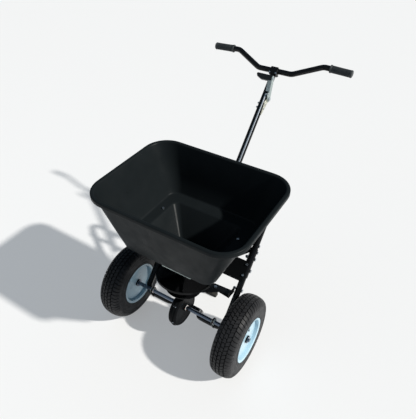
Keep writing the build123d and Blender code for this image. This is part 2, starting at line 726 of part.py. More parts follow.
def bar_point(x, rise):
    """Point on the handlebar's own tilted plane."""
    lean = math.radians(BAR_TILT)
    centre = on_frame(0, BAR_S, POST_N)
    return centre + Vector(x, rise * math.cos(lean), rise * math.sin(lean))


def bar_points(end):
    half = [(BAR_FLAT, 0), (BAR_SHOULDER, BAR_RISE), (end, BAR_RISE - BAR_DROOP)]
    right = [bar_point(x, rise) for x, rise in half]
    left = [bar_point(-x, rise) for x, rise in reversed(half)]
    return left + right


def handlebar():
    return pipe(bar_points(BAR_END - GRIP_CAP), BAR_BEND, BAR_R, BAR_R - 1.8)


def grip_point(side, x):
    """Point on the middle of the bar's straight end."""
    along = (x - BAR_SHOULDER) / (BAR_END - GRIP_CAP - BAR_SHOULDER)
    return bar_point(side * x, BAR_RISE - BAR_DROOP * along)


def grip(side):
    """Soft grip with a closed end, pushed over the bar."""
    start = grip_point(side, GRIP_START)
    inside_end = grip_point(side, BAR_END - GRIP_CAP)
    return bar(start, grip_point(side, BAR_END), GRIP_R) - bar(start, inside_end, BAR_R)


def bar_clamp():
    """Clamp block that joins the post and the bar."""
    mid = on_frame(0, BAR_S - 4, POST_N)
    block = Plane(origin=mid, x_dir=(1, 0, 0), z_dir=OFF_POST) * Box(CLAMP_W, CLAMP_H, CLAMP_D)
    block = fillet(block.edges(), 4)
    block -= bar(on_frame(-60, BAR_S, POST_N), on_frame(60, BAR_S, POST_N), BAR_R)
    block -= bar(on_frame(0, BAR_S - 60, POST_N), on_frame(0, BAR_S - BAR_R, POST_N), TUBE_R)
    return block


def clamp_bolts():
    """Two bolts through the clamp block, one on each side of the post."""
    solids = []
    for side in (-1, 1):
        seat = on_frame(side * 13.7, BAR_S - 14, POST_N + CLAMP_D / 2)
        solids.append(bolt(seat, OFF_POST * -1, 2.0, CLAMP_D + 5))
    return Compound(children=solids)


# ---- gate lever and linkage ------------------------------------------------

def lever_bracket():
    """Plate on the right of the post: lever pivot above, pointed tail below."""
    spots = [(*flat(on_frame(0, LEVER_S, LEVER_N)), 12.0), (*flat(on_frame(0, 890, POST_N - 2)), 13.0),
             (*flat(on_frame(0, 846, POST_N)), 3.0)]
    holes = [(*flat(on_frame(0, LEVER_S, LEVER_N)), PIVOT_R)]
    return link_plate(TUBE_R, TUBE_R + 2.6, spots, holes)


def bracket_screws():
    solids = []
    for s in (872, 890):
        seat = on_frame(TUBE_R + 2.6, s, POST_N)
        solids.append(bolt(seat, (-1, 0, 0), 2.5, 33))
    return Compound(children=solids)


def lever_pivot():
    """Shouldered bolt that the lever turns on."""
    centre = on_frame(0, LEVER_S, LEVER_N)
    y, z = flat(centre)
    stem = bar((TUBE_R - 5, y, z), (22, y, z), PIVOT_R)
    head = bar((19.6, y, z), (23.5, y, z), 7.0)
    nut = extrude(Plane(origin=(TUBE_R - 5, y, z), z_dir=(1, 0, 0)) * RegularPolygon(7, 6), 5)
    return stem + head + nut


def turned_arm(centre, length, degrees, along, across):
    """End of an arm that starts square to a direction and leans by an angle towards it."""
    lean = math.radians(degrees)
    return centre + across * (length * math.cos(lean)) + along * (length * math.sin(lean))


def control_lever():
    """Galvanised strap lever: hand arm up to the paddle, folded over in front of the post, and rod arm."""
    pivot = on_frame(0, LEVER_S, LEVER_N)
    rod_end = turned_arm(pivot, ARM, HALF_SWING, UP_POST, OFF_POST)
    paddle = on_frame(0, PADDLE_S, PADDLE_N)
    spots = [(*flat(rod_end), 8.5), (*flat(pivot), STRAP_R), (*flat(paddle), STRAP_R - 2)]
    holes = [(*flat(rod_end), PIN_R + LOOSE), (*flat(pivot), PIVOT_R + RUN)]
    strap = link_plate(LINK_X, LINK_X + LINK_T, spots, holes)
    arm = math.atan2(PADDLE_N - LEVER_N, PADDLE_S - LEVER_S)
    front = STRAP_R - 1.5
    mid = on_frame(LINK_X + LINK_T - FOLD_W / 2, 965 - front * math.sin(arm),
                   LEVER_N + (965 - LEVER_S) * math.tan(arm) + front * math.cos(arm) - LINK_T / 2)
    along = UP_POST * math.cos(arm) + OFF_POST * math.sin(arm)
    fold = Plane(origin=mid, x_dir=(1, 0, 0), z_dir=along) * Box(FOLD_W, LINK_T, 44)
    return strap + fold


def lever_paddle():
    """Moulded paddle across the front of the post: broad edge up, narrowing down to the strap."""
    base = Plane(origin=on_frame(0, PADDLE_S, PADDLE_N), x_dir=(1, 0, 0), z_dir=OFF_POST)
    outline = make_face(Polyline((-58, 11), (16, 11), (16, -9), (10, -13), (-30, -13), (-50, -4), close=True))
    outline = fillet(outline.vertices().sort_by(Axis.X)[:2], 5)
    block = extrude(base * outline, 7, both=True)
    block = fillet(block.edges().filter_by(lambda edge: abs((edge % 0.5).dot(OFF_POST)) < 0.5), 3)
    return block - control_lever()


def paddle_screw():
    y, z = flat(on_frame(0, PADDLE_S, PADDLE_N))
    face_x = LINK_X + LINK_T
    return bar((face_x, y, z), (face_x + 3, y, z), 5.0) + bar((face_x - 11, y, z), (face_x, y, z), 2.0)


def control_rod():
    """Round rod with a pin turned in at each end."""
    top = on_frame(ROD_X, LEVER_S + ARM_THROW, ROD_N)
    foot = on_frame(ROD_X, CRANK_S + ARM_THROW, ROD_N)
    rod = bar(foot - UP_POST * 3, top + UP_POST * 3, ROD_R)
    for end in (top, foot):
        rod += bar(end, end + Vector(20 - ROD_X, 0, 0), PIN_R)
    return rod


def rod_guide():
    """Eye on the post that steadies the rod."""
    eye = bar(on_frame(ROD_X, GUIDE_S, ROD_N), on_frame(ROD_X, GUIDE_S + 5, ROD_N), 7.0)
    band = bar(on_frame(0, GUIDE_S, POST_N), on_frame(0, GUIDE_S + 5, POST_N), TUBE_R + 2.2)
    guide = eye + band
    guide -= bar(on_frame(0, GUIDE_S - 9, POST_N), on_frame(0, GUIDE_S + 9, POST_N), TUBE_R)
    return guide - bar(on_frame(ROD_X, GUIDE_S - 9, ROD_N), on_frame(ROD_X, GUIDE_S + 9, ROD_N), ROD_R + 0.6)


def gate_crank():
    """Bell crank: one arm on the rod, the other on the gate's pin."""
    pivot = on_frame(0, CRANK_S, CRANK_N)
    rod_end = turned_arm(pivot, ARM, HALF_SWING, UP_POST, OFF_POST * -1)
    gate_end = turned_arm(pivot, GATE_ARM, HALF_SWING, BACK_SHAFT, UP_SHAFT * -1)
    spots = [(*flat(rod_end), 7.0), (*flat(pivot), 8.5), (*flat(gate_end), 7.0)]
    holes = [(*flat(rod_end), PIN_R + LOOSE), (*flat(pivot), PIVOT_R + RUN), (*flat(gate_end), PIN_R + 1.8)]
    return link_plate(LINK_X, LINK_X + LINK_T, spots, holes)


def crank_bracket():
    """Angle bracket on the rear panel that carries the crank's pivot."""
    pivot = on_frame(0, CRANK_S, CRANK_N)
    face_n = FRAME_N + TUBE_R + SLEEVE_WALL + 3.15
    seat = on_frame(0, PANEL_S + PANEL_DEPTH / 2 - 12, face_n + 4)
    plate = link_plate(22.0, 25.0, [(*flat(pivot), 8.0), (*flat(seat), 10.0)], [])
    foot = Plane(origin=on_frame(31, PANEL_S + PANEL_DEPTH / 2 - 12, face_n + 1.5), x_dir=(1, 0, 0),
                 z_dir=OFF_POST) * Box(18, 20, 3)
    keep = Plane(origin=on_frame(0, CRANK_S, face_n), x_dir=(1, 0, 0), z_dir=OFF_POST) * Pos(0, 0, 100)
    return (plate + foot) & (keep * Box(300, 300, 200))


def crank_pivot():
    y, z = flat(on_frame(0, CRANK_S, CRANK_N))
    return bar((12, y, z), (28, y, z), PIVOT_R) + bar((11.8, y, z), (15.4, y, z), 7.0)


# ---- assembly --------------------------------------------------------------

# Fasteners, and the nodes that they pass through
DRILLED = {
    "frame_bolts": ("splice_sleeves", "hopper_brackets", "post_blocks", "lower_frame", "upper_hoop",
                    "support_plate", "rear_panel", "cross_brace", "handle_post"),
    "handle_screws": ("bar_clamp", "lever_bracket", "handle_post"),
    "paddle_screw": ("control_lever", "lever_paddle"),
    "spinner_pin": ("spinner_disc", "spinner_shaft"),
    "case_and_outlet_screws": ("gear_case_left", "gear_case_right", "hopper"),
    "axle_pins": ("hub_tube_right", "ring_gear"),
    "linkage_pivots": ("lever_bracket", "crank_bracket", "handle_post"),
    "hopper_bolts": ("hopper_brackets",),
}


def group(*solids):
    """One node of several separate pieces of the same kind."""
    pieces = []
    for item in solids:
        pieces += item.solids()
    return Compound(children=pieces)


def moved_forward(part, shift):
    """The same pieces, redrawn a distance towards the front."""
    return Compound(children=[piece.translate((0, -shift, 0), transform=True) for piece in part.solids()])


def all_parts():
    parts = {}
    for name, side in (("left", -1), ("right", 1)):
        x = side * WHEEL_X
        parts["tyre_" + name] = tyre(x)
        parts["rim_outer_" + name] = rim_half(x, side)
        parts["rim_inner_" + name] = rim_half(x, -side)
        parts["hub_tube_" + name] = hub_tube(x)
        parts["hub_bushes_" + name] = hub_bushes(x)
        parts["valve_" + name] = valve(x, side)
        parts["gear_case_" + name] = gear_case(side)
    pairs = {"splice_sleeves": splice_sleeve, "axle_brackets": axle_bracket,
             "hopper_brackets": hopper_bracket, "gate_guides": gate_guide, "grips": grip}
    for name, maker in pairs.items():
        parts[name] = group(maker(-1), maker(1))
    parts["axle_pins"] = group(end_pins(), drive_pin(), ring_key())
    parts["frame_bolts"] = group(splice_bolts(), bracket_bolts(), plate_bolts(), panel_bolts(), post_bolts())
    parts["case_and_outlet_screws"] = group(case_screws(), outlet_screws())
    parts["handle_screws"] = group(clamp_bolts(), bracket_screws())
    parts["linkage_pivots"] = group(lever_pivot(), crank_pivot())
    parts["stand_crossbar_and_clip"] = group(stand_crossbar(), stand_clip())
    parts["post_blocks"] = group(post_saddle(), foot_spacer())
    singles = (axle, washers, ring_gear, pinion_gear, case_bushes, spinner_shaft, spinner_disc, spinner_pin,
               agitator, lower_frame, upper_hoop, support_plate, rear_panel, cross_brace, axle_bushes, stand,
               stand_foot, hopper, hopper_bolts, outlet_plate, gate, handle_post, handlebar,
               bar_clamp, lever_bracket, control_lever, lever_paddle, paddle_screw, control_rod, rod_guide,
               gate_crank, crank_bracket)
    for maker in singles:
        parts[maker.__name__] = maker()
    for tool, drilled in DRILLED.items():
        for name in drilled:
            parts[name] = group(parts[name] - parts[tool])
    return parts


def main():
    os.makedirs("parts", exist_ok=True)
    parts = all_parts()
    back = max(part.bounding_box().max.Y for part in parts.values())
    shift = (back - TYRE_R) / 2
    for name, part in parts.items():
        export_step(moved_forward(part, shift), "parts/" + name + ".step")
    print(len(parts), "nodes; moved forward by", round(shift, 3))


main()
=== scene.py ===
import json
import math

import bmesh
import bpy
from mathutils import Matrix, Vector


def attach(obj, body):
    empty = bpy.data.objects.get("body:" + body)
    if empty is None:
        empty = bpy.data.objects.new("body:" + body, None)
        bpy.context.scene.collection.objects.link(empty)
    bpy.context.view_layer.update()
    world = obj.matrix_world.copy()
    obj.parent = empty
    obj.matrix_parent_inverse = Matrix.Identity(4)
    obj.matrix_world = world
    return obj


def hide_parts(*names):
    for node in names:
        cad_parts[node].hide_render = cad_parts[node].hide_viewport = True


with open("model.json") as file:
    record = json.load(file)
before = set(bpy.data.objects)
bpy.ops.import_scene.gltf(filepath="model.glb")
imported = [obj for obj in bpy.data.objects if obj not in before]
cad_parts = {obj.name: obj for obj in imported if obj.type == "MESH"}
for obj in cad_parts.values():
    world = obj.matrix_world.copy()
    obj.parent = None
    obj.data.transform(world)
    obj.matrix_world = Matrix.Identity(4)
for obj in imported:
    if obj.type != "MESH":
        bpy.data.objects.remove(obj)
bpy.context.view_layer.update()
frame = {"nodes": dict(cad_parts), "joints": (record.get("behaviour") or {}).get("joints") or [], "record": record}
MM = 0.001

# The axle's middle, and the two tilted frames that the machine is laid out in. Sizes are in
# millimetres, and become metres in on_spin, on_frame, level and wherever MM stands.
AXLE = Vector(next(j["pos_m"] for j in frame["joints"] if j["name"] == "drive_axle_spin"))
INCLINE = math.radians(46)
SPIN_TILT = math.radians(10)
UP_POST = Vector((0, math.cos(INCLINE), math.sin(INCLINE)))
OFF_POST = Vector((0, -math.sin(INCLINE), math.cos(INCLINE)))
UP_SHAFT = Vector((0, math.sin(SPIN_TILT), math.cos(SPIN_TILT)))
BACK_SHAFT = Vector((0, math.cos(SPIN_TILT), -math.sin(SPIN_TILT)))
WHEEL_X = 264.8


def on_spin(x, v, w):
    """Millimetres in the spinner shaft's frame, as a place in metres."""
    return AXLE + (Vector((x, 0, 0)) + BACK_SHAFT * v + UP_SHAFT * w) * MM


def on_frame(x, s, n):
    """Millimetres along and off the handle's incline, as a place in metres."""
    return AXLE + (Vector((x, 0, 0)) + UP_POST * s + OFF_POST * n) * MM


def level(x, y, z):
    """Millimetres right of and behind the axle and above the ground, as a place in metres."""
    return Vector((x * MM, AXLE.y + y * MM, z * MM))


# ---- materials --------------------------------------------------------------

# Colours of the dust and scuffs that lie over the finishes
SCUFF = (0.10, 0.11, 0.12)
SOOT = (0.08, 0.08, 0.08)
CHALK = (0.35, 0.34, 0.3)
EARTH = (0.32, 0.3, 0.27)
SOIL = (0.13, 0.115, 0.095)
ROAD_DUST = (0.075, 0.074, 0.076)
PALM_DUST = (0.12, 0.12, 0.13)


class Finish:
    """A node material that is put together step by step, on the object's own coordinates."""

    def __init__(self, name, color, rough, metal=0.0, **sockets):
        self.material = bpy.data.materials.new(name)
        self.material.use_nodes = True
        self.tree = self.material.node_tree
        self.shader = self.tree.nodes["Principled BSDF"]
        self.place = self.tree.nodes.new("ShaderNodeTexCoord").outputs["Object"]
        self.height = None
        self.shader.inputs["Metallic"].default_value = metal
        self.shader.inputs["Roughness"].default_value = rough
        self.shader.inputs["Base Color"].default_value = (*color, 1)
        for socket, value in sockets.items():
            self.shader.inputs[socket.replace("_", " ")].default_value = value

    def link(self, source, target):
        self.tree.links.new(source, target)

    def stretched(self, scale):
        """The coordinates, drawn out along an axis."""
        node = self.tree.nodes.new("ShaderNodeMapping")
        node.inputs["Scale"].default_value = scale
        self.link(self.place, node.inputs["Vector"])
        return node.outputs["Vector"]

    def noise(self, scale, detail=4.0, place=None):
        node = self.tree.nodes.new("ShaderNodeTexNoise")
        node.inputs["Scale"].default_value = scale
        node.inputs["Detail"].default_value = detail
        self.link(place or self.place, node.inputs["Vector"])
        return node.outputs["Fac"]

    def cells(self, scale):
        node = self.tree.nodes.new("ShaderNodeTexVoronoi")
        node.inputs["Scale"].default_value = scale
        self.link(self.place, node.inputs["Vector"])
        return node.outputs["Color"]

    def ramp(self, source, low, high, start=0.0, end=1.0):
        node = self.tree.nodes.new("ShaderNodeMapRange")
        node.inputs["From Min"].default_value = low
        node.inputs["From Max"].default_value = high
        node.inputs["To Min"].default_value = start
        node.inputs["To Max"].default_value = end
        self.link(source, node.inputs["Value"])
        return node.outputs["Result"]

    def times(self, a, b):
        node = self.tree.nodes.new("ShaderNodeMath")
        node.operation = "MULTIPLY"
        self.link(a, node.inputs[0])
        self.link(b, node.inputs[1])
        return node.outputs["Value"]

    def tint(self, amount, color):
        """Mixes another colour over what is there, by an amount that varies over the surface."""
        node = self.tree.nodes.new("ShaderNodeMix")
        node.data_type = "RGBA"
        colors = [socket for socket in node.inputs if socket.type == "RGBA"]
        out = [socket for socket in node.outputs if socket.type == "RGBA"][0]
        base = self.shader.inputs["Base Color"]
        if base.is_linked:
            self.link(base.links[0].from_socket, colors[0])
        else:
            colors[0].default_value = base.default_value
        colors[1].default_value = (*color, 1)
        self.link(amount, node.inputs["Factor"])
        self.link(out, base)

    def rough(self, source, low, high, start, end):
        """Roughness that follows a pattern."""
        self.link(self.ramp(source, low, high, start, end), self.shader.inputs["Roughness"])

    def bump(self, source, depth_mm, strength):
        """Adds a relief on top of the reliefs that are there."""
        node = self.tree.nodes.new("ShaderNodeBump")
        node.inputs["Distance"].default_value = depth_mm * MM
        node.inputs["Strength"].default_value = strength
        self.link(source, node.inputs["Height"])
        if self.height:
            self.link(self.height, node.inputs["Normal"])
        self.height = node.outputs["Normal"]
        self.link(self.height, self.shader.inputs["Normal"])

    def dusty(self, scale, color, most, low=0.48, high=0.78):
        """Dust in patches, broken up by a finer grain."""
        patches = self.ramp(self.noise(scale, 6), low, high, 0.0, most)
        grain = self.ramp(self.noise(scale * 14, 3), 0.3, 0.65)
        self.tint(self.times(patches, grain), color)


def shaded(color, share):
    """A colour, made darker or lighter."""
    return [channel * share for channel in color]


def moulded(name, color, rough, **sockets):
    """Moulded plastic: fine grain, slow waves in the wall, and pale scuffs."""
    finish = Finish(name, color, rough, **sockets)
    finish.tint(finish.ramp(finish.noise(3.5, 3), 0.35, 0.7, 0.0, 0.5), shaded(color, 1.5))
    finish.dusty(9, SCUFF, 0.03)
    finish.rough(finish.noise(26, 5), 0.3, 0.7, rough - 0.07, rough + 0.1)
    finish.bump(finish.noise(7, 2), 1.6, 0.5)
    finish.bump(finish.noise(420, 2), 0.18, 0.5)
    return finish.material


def powder_coat(name, color, rough):
    """Gloss powder coat: orange peel and a little dust."""
    finish = Finish(name, color, rough, Specular_IOR_Level=0.22, Coat_Weight=0.06,
                    Coat_Roughness=0.1)
    finish.dusty(16, SOOT, 0.04)
    finish.rough(finish.noise(40, 4), 0.3, 0.7, rough - 0.05, rough + 0.1)
    finish.bump(finish.noise(650, 1), 0.1, 0.35)
    return finish.material


def plated(name, color, rough):
    """Zinc plate: fine drawn lines and dull patches."""
    finish = Finish(name, color, rough, metal=1.0)
    finish.tint(finish.ramp(finish.noise(55, 5), 0.4, 0.75, 0.0, 0.6), shaded(color, 0.55))
    lines = finish.noise(6, 5, finish.stretched((30, 300, 300)))
    finish.rough(lines, 0.3, 0.7, rough - 0.08, rough + 0.16)
    finish.bump(lines, 0.06, 0.4)
    return finish.material


def galvanised(name, color, rough):
    """Galvanised sheet: spangle with drifting dull and bright crystals."""
    finish = Finish(name, color, rough, metal=0.75)
    spangle = finish.cells(170)
    finish.tint(finish.ramp(spangle, 0.2, 0.9, 0.0, 0.55), shaded(color, 0.62))
    finish.dusty(30, CHALK, 0.3)
    finish.rough(spangle, 0.1, 0.9, rough - 0.1, rough + 0.15)
    finish.bump(finish.noise(260, 3), 0.07, 0.4)
    return finish.material


def enamel(name, color, rough):
    """Gloss paint on a pressed wheel: faint grime in blotches and light orange peel."""
    finish = Finish(name, color, rough, Coat_Weight=0.4, Coat_Roughness=0.08)
    finish.tint(finish.ramp(finish.noise(5, 4), 0.4, 0.75, 0.0, 0.35), shaded(color, 0.86))
    finish.dusty(22, EARTH, 0.22, 0.52, 0.8)
    finish.rough(finish.noise(30, 4), 0.3, 0.7, rough - 0.05, rough + 0.12)
    finish.bump(finish.noise(420, 1), 0.08, 0.3)
    return finish.material


def rubber(name, color, rough, dust, dust_color):
    """Rubber: matt, dusted, with a fine moulded grain."""
    finish = Finish(name, color, rough, Specular_IOR_Level=0.2)
    finish.dusty(18, dust_color, dust, 0.36, 0.72)
    finish.rough(finish.noise(60, 4), 0.3, 0.7, rough - 0.1, rough + 0.08)
    finish.bump(finish.noise(520, 3), 0.2, 0.5)
    return finish.material


def nylon(name, color, rough):
    """Natural nylon: slightly cloudy, with grease marks."""
    finish = Finish(name, color, rough, Subsurface_Weight=0.08, Subsurface_Scale=0.004)
    finish.dusty(60, shaded(color, 0.45), 0.6)
    finish.rough(finish.noise(80, 4), 0.3, 0.7, rough - 0.08, rough + 0.12)
    finish.bump(finish.noise(500, 2), 0.08, 0.4)
    return finish.material


LOOKS = {
    "hopper_poly": moulded("hopper_poly", (0.0082, 0.0104, 0.0114), 0.34, Specular_IOR_Level=0.05),
    "black_powder": powder_coat("black_powder", (0.0035, 0.0036, 0.0042), 0.20),
    "rim_paint": enamel("rim_paint", (0.42, 0.60, 0.70), 0.30),
    "tyre_rubber": rubber("tyre_rubber", (0.0120, 0.0122, 0.0136), 0.50, 0.34, ROAD_DUST),
    "zinc_steel": plated("zinc_steel", (0.60, 0.64, 0.68), 0.28),
    "galvanised": galvanised("galvanised", (0.46, 0.53, 0.52), 0.42),
    "case_poly": moulded("case_poly", (0.0046, 0.0051, 0.0056), 0.30, Specular_IOR_Level=0.04),
    "gear_nylon": nylon("gear_nylon", (0.72, 0.69, 0.58), 0.45),
    "bush_nylon": nylon("bush_nylon", (0.76, 0.76, 0.72), 0.42),
    "disc_poly": moulded("disc_poly", (0.0045, 0.0046, 0.005), 0.30, Specular_IOR_Level=0.12),
    "grip_rubber": rubber("grip_rubber", (0.042, 0.047, 0.050), 0.5, 0.10, PALM_DUST),
    "paddle_poly": moulded("paddle_poly", (0.008, 0.008, 0.008), 0.20),
    "foot_rubber": rubber("foot_rubber", (0.022, 0.022, 0.022), 0.8, 0.5, SOIL),
    "valve_rubber": rubber("valve_rubber", (0.020, 0.020, 0.020), 0.7, 0.3, SOIL),
}
# Nodes whose finish differs from the rest of their slot
CREAM = galvanised("passivated_strip", (0.66, 0.65, 0.54), 0.40)
# The axle and washers take a darker, bluer plated steel than the other zinc parts
DARK_STEEL = plated("darker_plated_steel", (0.16, 0.19, 0.24), 0.24)
OWN_LOOKS = {"lever_bracket": CREAM, "axle": DARK_STEEL, "washers": DARK_STEEL}
SLOTS = {row["node"]: row["material_slot"] for row in frame["record"]["subparts"]}
for node, cad in frame["nodes"].items():
    look = OWN_LOOKS.get(node, LOOKS[SLOTS[node]])
    if not cad.material_slots:
        cad.data.materials.append(look)
    for material_slot in cad.material_slots:
        material_slot.material = look


# ---- mesh making ------------------------------------------------------------

def shown(made):
    """Adds an object to the scene."""
    bpy.context.scene.collection.objects.link(made)
    return made


def grid_faces(rows, columns, wrap):
    """Quads between closed rings of points; wrap joins the last ring to the first."""
    faces = []
    for row in range(rows if wrap else rows - 1):
        here, after = row * columns, (row + 1) % rows * columns
        for j in range(columns):
            k = (j + 1) % columns
            faces.append((here + j, here + k, after + k, after + j))
    return faces


def piece(name, rings, look, body, replaced, sharp, wrap=False):
    """A closed skin through rings of points, as an object that stands for a CAD node.

    Edges that turn by more than sharp degrees stay crisp.
    """
    columns = len(rings[0])
    faces = grid_faces(len(rings), columns, wrap)
    if not wrap:
        last = (len(rings) - 1) * columns
        faces += [tuple(range(columns))[::-1], tuple(range(last, last + columns))]
    mesh = bpy.data.meshes.new(name)
    mesh.from_pydata([tuple(p) for ring in rings for p in ring], [], faces)
    solid = bmesh.new()
    solid.from_mesh(mesh)
    bmesh.ops.recalc_face_normals(solid, faces=solid.faces)
    solid.to_mesh(mesh)
    solid.free()
    mesh.shade_smooth()
    mesh.set_sharp_from_angle(angle=math.radians(sharp))
    mesh.materials.append(LOOKS[look])
    made = shown(bpy.data.objects.new(name, mesh))
    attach(made, body)
    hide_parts(replaced)
    return made


# ---- tyres ------------------------------------------------------------------

TYRE_SHARP = 34
PITCHES = 60
# Where the height changes within one pitch; two lug rows, half a pitch apart
STEPS = (0.0, 0.035, 0.165, 0.2, 0.35, 0.5, 0.535, 0.665, 0.7, 0.85)
# The steps at which each row of lugs is cut by its groove
GROOVES = {"a": (1, 2), "b": (6, 7), "c": (1, 2)}
# From the middle out: x and radius of the lug's top, x and radius of its foot, and its row
TREAD = [(0, 165, 0, 158.6, "a"), (5.4, 164.9, 5.6, 158.5, "a"),
         (6.4, 158.4, 6.4, 158.4, None), (8.4, 158.2, 8.4, 158.2, None),
         (9.4, 164.5, 9.2, 158.1, "b"), (15, 163.8, 15, 157.6, "b"),
         (21.0, 162.7, 21.2, 156.6, "b"), (22.0, 156.4, 22.0, 156.4, None),
         (24.2, 155.9, 24.2, 155.9, None), (25.2, 161.6, 25.0, 155.5, "c"),
         (31, 159.0, 30, 152.9, "c"), (37.4, 155.0, 35.4, 149.6, "c"),
         (41.4, 149.2, 38.8, 145.4, "c"), (43.8, 142.6, 41.6, 140.2, "c"),
         (44.4, 137.2, 43.4, 136.4, "c")]
# How far the lugs lean round the tyre, in pitches, at each x: a zigzag from row to row
LEANS = ((0, 0.0), (7.5, 0.24), (23, -0.24), (45, 0.2))
# Down the sidewall: shoulder ring, plain wall, bead ring, and in under the rim's flange
SIDEWALL = [(43.7, 134.6), (43.8, 131.0), (44.7, 129.8), (44.7, 127.4), (44.1, 126.0),
            (44.8, 120.0), (45.1, 112.0), (44.8, 104.5), (44.3, 102.6), (45.3, 101.2), (45.4, 97.4),
            (44.2, 93.9), (44.0, 92.5), (42.2, 91.6), (40.2, 84.7), (24.0, 84.5), (22.0, 92.0)]


def lean(x):
    """How far the lugs lean at x, in pitches."""
    for (x0, lean0), (x1, lean1) in zip(LEANS, LEANS[1:]):
        if abs(x) <= x1:
            return lean0 + (lean1 - lean0) * (abs(x) - x0) / (x1 - x0)
    return LEANS[-1][1]


def tyre_section(step):
    """Closed section of the tyre at one step of the tread's pitch, as (x, radius, lean) points."""
    half = []
    for top_x, top_r, foot_x, foot_r, row in TREAD:
        low = row is None or step in GROOVES[row]
        x, r = (foot_x, foot_r) if low else (top_x, top_r)
        half.append((x, r, lean(x)))
    half += [(x, r, LEANS[-1][1]) for x, r in SIDEWALL]
    return half + [(-x, r, turn) for x, r, turn in reversed(half[1:])]


def tyre(side_name, side, body):
    """Treaded tyre: its section, swept round the axle step by step."""
    rings = []
    for pitch in range(PITCHES):
        for step, share in enumerate(STEPS):
            ring = []
            for x, r, leaned in tyre_section(step):
                turn = math.tau * (pitch + share + leaned) / PITCHES
                spot = Vector((side * WHEEL_X + x, r * math.cos(turn), r * math.sin(turn)))
                ring.append(AXLE + spot * MM)
            rings.append(ring)
    piece("tyre_skin_" + side_name, rings, "tyre_rubber", body, "tyre_" + side_name, TYRE_SHARP,
          wrap=True)


tyre("left", -1, "left_wheel")
tyre("right", 1, "drive_axle")


# ---- hopper -----------------------------------------------------------------

# Rounded outlines: half width, front, back and corner radius
RIM = (303.0, -147.0, 318.0, 96.0)
BEND = (221.0, -107.0, 270.0, 52.0)
SKIRT = (188.0, -90.0, 238.0, 36.0)
FUNNEL_TOP = (154.0, -52.0, 200.0, 24.0)
FUNNEL_FOOT = (54.0, -54.0, 54.0, 10.0)
FLANGE = (66, -66, 66, 8)
# Heights above the ground, and along the spinner shaft from the axle
RIM_Z = 713.0
BEND_Z = 565.0
LEDGE_Z = 513.0
SKIRT_Z = 487.0
FLOOR_W = 222.0
# Thicknesses: wall, rolled rim (width, depth, its top and its hem) and the outlet flange
WALL = 4.0
RIM_WIDTH = 14
RIM_DEPTH = 16
RIM_TOP = 3.5
RIM_HEM = 3
FLANGE_T = 6
# How far up the funnel its outside leaves the flange, as a share of its height
FLANGE_JOIN = 0.05
# The two ports and the shaft's hole, all cut through the floor
PORT_X = 29.0
PORT_V = 25.0
PORT_SIDE = 22.0
SHAFT_HOLE = 12
CUT_DEPTH = 40
# Mesh steps round a corner, along a side and over a fold
CORNER_STEPS = 12
SIDE_STEPS = 8
FOLD_STEPS = 5
# The longest share of a run that a softened fold may take up
FOLD_SHARE = 0.46
HOPPER_SHARP = 50


def grown(outline, by):
    """An outline moved outwards all round."""
    half_x, front, back, corner = outline
    return half_x + by, front - by, back + by, max(corner + by, 1.0)


def between(a, b, share):
    return tuple(p + (q - p) * share for p, q in zip(a, b))


def loop(outline):
    """Rounded rectangle as points, in the same order and number for every outline."""
    half_x, front, back, corner = outline
    corners = [(half_x - corner, back - corner, 0), (corner - half_x, back - corner, 90),
               (corner - half_x, front + corner, 180), (half_x - corner, front + corner, 270)]
    arcs = []
    for cx, cy, start in corners:
        turns = [math.radians(start + 90 * k / CORNER_STEPS) for k in range(CORNER_STEPS + 1)]
        arcs.append([(cx + corner * math.cos(t), cy + corner * math.sin(t)) for t in turns])
    points = []
    for i, arc in enumerate(arcs):
        a, b = arc[-1], arcs[(i + 1) % 4][0]
        points += arc + [between(a, b, k / SIDE_STEPS) for k in range(1, SIDE_STEPS)]
    return points


def level_ring(outline, z):
    return [level(x, y, z) for x, y in loop(outline)]


def tilted_ring(outline, w):
    return [on_spin(x, v, w) for x, v in loop(outline)]


def wall_ring(z):
    """Inside of the lower walls at height z."""
    return level_ring(between(BEND, SKIRT, (BEND_Z - z) / (BEND_Z - SKIRT_Z)), z)


def softened(rings, radii):
    """Rings with every fold between them rounded off: radii are how far a fold reaches, in mm."""
    columns = []
    for column in zip(*rings):
        points = [column[0]]
        for i in range(1, len(column) - 1):
            before, here, after = column[i - 1], column[i], column[i + 1]
            back, on = before - here, after - here
            a = here + back.normalized() * min(radii[i] * MM, back.length * FOLD_SHARE)
            b = here + on.normalized() * min(radii[i] * MM, on.length * FOLD_SHARE)
            for k in range(FOLD_STEPS):
                t = k / (FOLD_STEPS - 1)
                points.append(a.lerp(here, t).lerp(here.lerp(b, t), t))
        columns.append(points + [column[-1]])
    return [list(ring) for ring in zip(*columns)]


